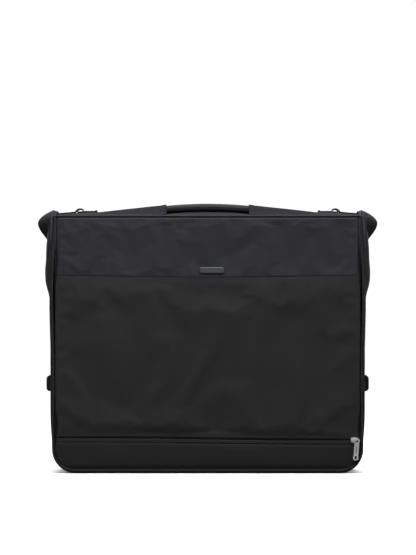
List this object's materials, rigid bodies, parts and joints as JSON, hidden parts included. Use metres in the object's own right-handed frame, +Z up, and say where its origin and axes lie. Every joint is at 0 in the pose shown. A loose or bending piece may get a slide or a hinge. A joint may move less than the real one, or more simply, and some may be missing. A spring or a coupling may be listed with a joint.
{
  "type": "garment bag",
  "caption": "Bi-fold garment bag folded over its carry handle: two padded halves hinged to a spine, zip pockets, side-release buckles, strap rings and a hanging hook.",
  "frame": {"origin": "on the floor under the middle of the folded bag", "axes": "+X right along the width seen from the front, +Y from the front half to the rear half, +Z up"},
  "size_m": [0.624, 0.1428, 0.4906],
  "materials": {
    "nylon_body": "matt dark woven nylon",
    "nylon_yoke": "dark woven nylon with a slight sheen",
    "spine_nylon": "dark woven nylon with a slight sheen",
    "gusset_nylon": "matt dark woven nylon",
    "ear_weave": "coarse dark weave",
    "piping": "dark binding over cord",
    "lining": "smooth dark lining",
    "foam": "closed foam",
    "board": "plastic board",
    "webbing": "ribbed webbing",
    "grip_rubber": "smooth moulded grip",
    "zip_tape": "zip tape",
    "zip_coil": "nylon coil",
    "silver_metal": "satin silver plating",
    "gunmetal": "brushed gunmetal",
    "black_plastic": "moulded black plastic",
    "steel": "plated steel"
  },
  "bodies": {
    "front_half": {"front_gusset": "gusset_nylon", "front_edge_piping": "piping", "front_inner_binding": "piping", "front_backing": "foam", "front_inner_panel": "lining", "front_stiffener": "board", "front_yoke_panel": "nylon_yoke", "front_pocket_zip_tape": "zip_tape", "front_pocket_zip_chain": "zip_coil", "front_main_zip_tape": "zip_tape", "front_main_zip_chain": "zip_coil", "front_side_webbing": "webbing", "front_pocket_panel": "nylon_body", "front_base_panel": "nylon_body", "badge_plate": "gunmetal", "garment_strap": "webbing", "buckle_sockets": "black_plastic"},
    "spine": {"spine_panel": "spine_nylon", "spine_end_panels": "spine_nylon", "spine_stiffener": "board", "crease_bar": "board", "left_handle_wing": "spine_nylon", "right_handle_wing": "spine_nylon", "ring_tabs": "webbing", "left_fold_ear": "ear_weave", "right_fold_ear": "ear_weave"},
    "handle": {"handle_grip": "grip_rubber", "handle_core": "board"},
    "left_ring": {"left_strap_ring": "black_plastic"},
    "right_ring": {"right_strap_ring": "black_plastic"},
    "rear_half": {"rear_gusset": "gusset_nylon", "rear_edge_piping": "piping", "rear_inner_binding": "piping", "rear_backing": "foam", "rear_inner_panel": "lining", "rear_stiffener": "board", "rear_yoke_panel": "nylon_body", "rear_pocket_zip_tape": "zip_tape", "rear_pocket_zip_chain": "zip_coil", "rear_main_zip_tape": "zip_tape", "rear_main_zip_chain": "zip_coil", "rear_side_webbing": "webbing", "rear_body_panel": "nylon_body", "buckle_plugs": "black_plastic", "hanger_bracket": "steel", "hook_plate": "steel"},
    "hook": {"hanging_hook": "steel"},
    "front_pocket_slider_body": {"front_pocket_slider": "silver_metal"},
    "front_pocket_pull_body": {"front_pocket_pull": "silver_metal"},
    "front_main_slider_body": {"front_main_slider": "silver_metal"},
    "front_main_pull_body": {"front_main_pull": "silver_metal"},
    "rear_pocket_slider_body": {"rear_pocket_slider": "silver_metal"},
    "rear_pocket_pull_body": {"rear_pocket_pull": "silver_metal"},
    "rear_main_slider_body": {"rear_main_slider": "silver_metal"},
    "rear_main_pull_body": {"rear_main_pull": "silver_metal"},
    "left_upper_prong_body": {"left_upper_prong": "black_plastic"},
    "left_lower_prong_body": {"left_lower_prong": "black_plastic"},
    "right_upper_prong_body": {"right_upper_prong": "black_plastic"},
    "right_lower_prong_body": {"right_lower_prong": "black_plastic"}
  },
  "joints": [
    {"name": "fold_front", "type": "hinge", "parent": "front_half", "child": "spine", "pos_m": [0, -0.065, 0.466], "axis": [1, 0, 0], "range_deg": [0, 90]},
    {"name": "fold_rear", "type": "hinge", "parent": "spine", "child": "rear_half", "pos_m": [0, 0.065, 0.466], "axis": [1, 0, 0], "range_deg": [0, 90]},
    {"name": "handle_lift", "type": "slide", "parent": "spine", "child": "handle", "axis": [0, 0, 1], "range_m": [0, 0.025]},
    {"name": "left_ring_turn", "type": "hinge", "parent": "spine", "child": "left_ring", "pos_m": [-0.2406, 0, 0.4786], "axis": [0, -1, 0], "range_deg": [0, 140]},
    {"name": "right_ring_turn", "type": "hinge", "parent": "spine", "child": "right_ring", "pos_m": [0.2406, 0, 0.4786], "axis": [0, 1, 0], "range_deg": [0, 140]},
    {"name": "hook_swing", "type": "hinge", "parent": "rear_half", "child": "hook", "pos_m": [0, 0.0029, 0.022], "axis": [0, 1, 0], "range_deg": [0, 180]},
    {"name": "front_pocket_zip", "type": "slide", "parent": "front_half", "child": "front_pocket_slider_body", "axis": [-1, 0, 0], "range_m": [0, 0.529]},
    {"name": "front_pocket_pull_swing", "type": "hinge", "parent": "front_pocket_slider_body", "child": "front_pocket_pull_body", "pos_m": [0.2713, -0.0689, 0.061], "axis": [0, -1, 0], "range_deg": [-45, 95]},
    {"name": "rear_pocket_zip", "type": "slide", "parent": "rear_half", "child": "rear_pocket_slider_body", "axis": [1, 0, 0], "range_m": [0, 0.529]},
    {"name": "rear_pocket_pull_swing", "type": "hinge", "parent": "rear_pocket_slider_body", "child": "rear_pocket_pull_body", "pos_m": [-0.2713, 0.0689, 0.393], "axis": [0, 1, 0], "range_deg": [-45, 95]},
    {"name": "front_main_zip", "type": "slide", "parent": "front_half", "child": "front_main_slider_body", "axis": [0, 0, 1], "range_m": [0, 0.262]},
    {"name": "front_main_pull_swing", "type": "hinge", "parent": "front_main_slider_body", "child": "front_main_pull_body", "pos_m": [0, -0.0038, 0.155], "axis": [0, 1, 0], "range_deg": [-100, 100]},
    {"name": "rear_main_zip", "type": "slide", "parent": "rear_half", "child": "rear_main_slider_body", "axis": [0, 0, 1], "range_m": [0, 0.262]},
    {"name": "rear_main_pull_swing", "type": "hinge", "parent": "rear_main_slider_body", "child": "rear_main_pull_body", "pos_m": [0, 0.0038, 0.155], "axis": [0, 1, 0], "range_deg": [-100, 100]},
    {"name": "left_upper_prong_press", "type": "slide", "parent": "rear_half", "child": "left_upper_prong_body", "axis": [0, 0, -1], "range_m": [0, 0.0028], "stiffness_N_per_m": 600},
    {"name": "left_lower_prong_press", "type": "slide", "parent": "rear_half", "child": "left_lower_prong_body", "axis": [0, 0, 1], "range_m": [0, 0.0028], "stiffness_N_per_m": 600},
    {"name": "right_upper_prong_press", "type": "slide", "parent": "rear_half", "child": "right_upper_prong_body", "axis": [0, 0, -1], "range_m": [0, 0.0028], "stiffness_N_per_m": 600},
    {"name": "right_lower_prong_press", "type": "slide", "parent": "rear_half", "child": "right_lower_prong_body", "axis": [0, 0, 1], "range_m": [0, 0.0028], "stiffness_N_per_m": 600}
  ],
  "couplings": [
    {"joint": "fold_rear", "follows": "fold_front", "ratio": 1}
  ]
}
